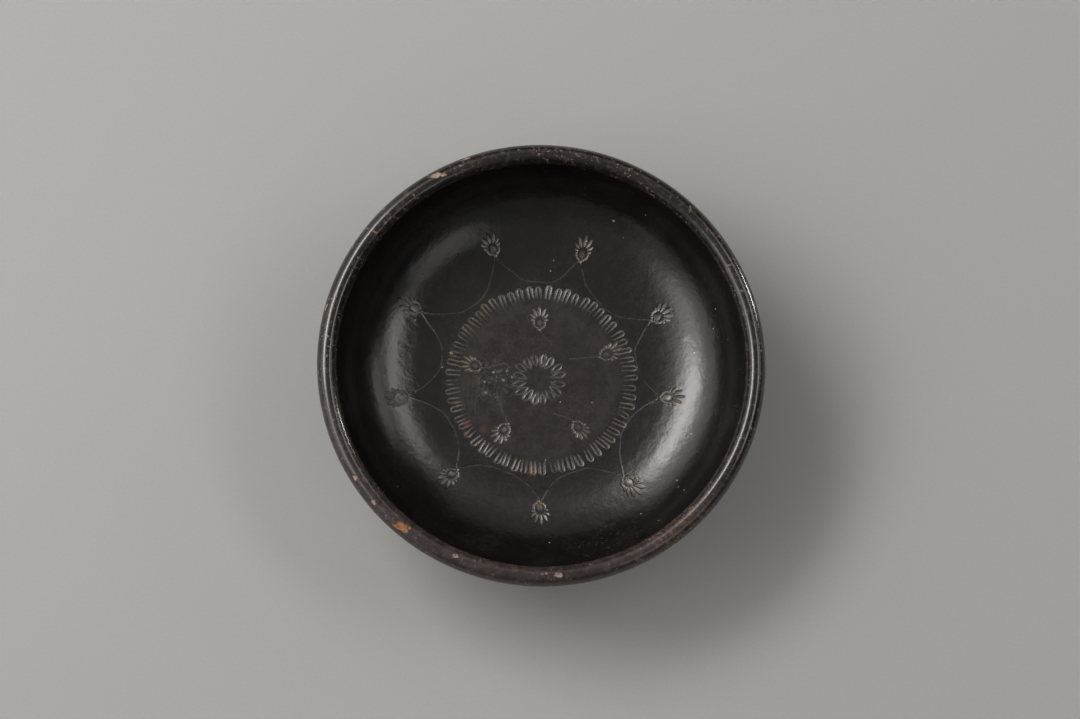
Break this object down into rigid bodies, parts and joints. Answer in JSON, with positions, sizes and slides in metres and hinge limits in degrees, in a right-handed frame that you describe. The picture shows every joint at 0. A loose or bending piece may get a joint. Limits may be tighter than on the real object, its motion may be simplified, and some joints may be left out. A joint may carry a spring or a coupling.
{
  "type": "ceramic bowl",
  "caption": "Shallow black-glazed clay bowl on a ring foot, with a rounded lip and a floor stamped with palmettes linked round rings of tongues.",
  "frame": {"origin": "middle of the ring foot, on the plane that the bowl rests on", "axes": "+Z is the axis the bowl was turned about, up out of its mouth; +X and +Y are level"},
  "size_m": [0.18, 0.18, 0.053],
  "materials": {
    "black_gloss": "satin"
  },
  "bodies": {
    "root": {"bowl": "black_gloss"}
  },
  "joints": []
}
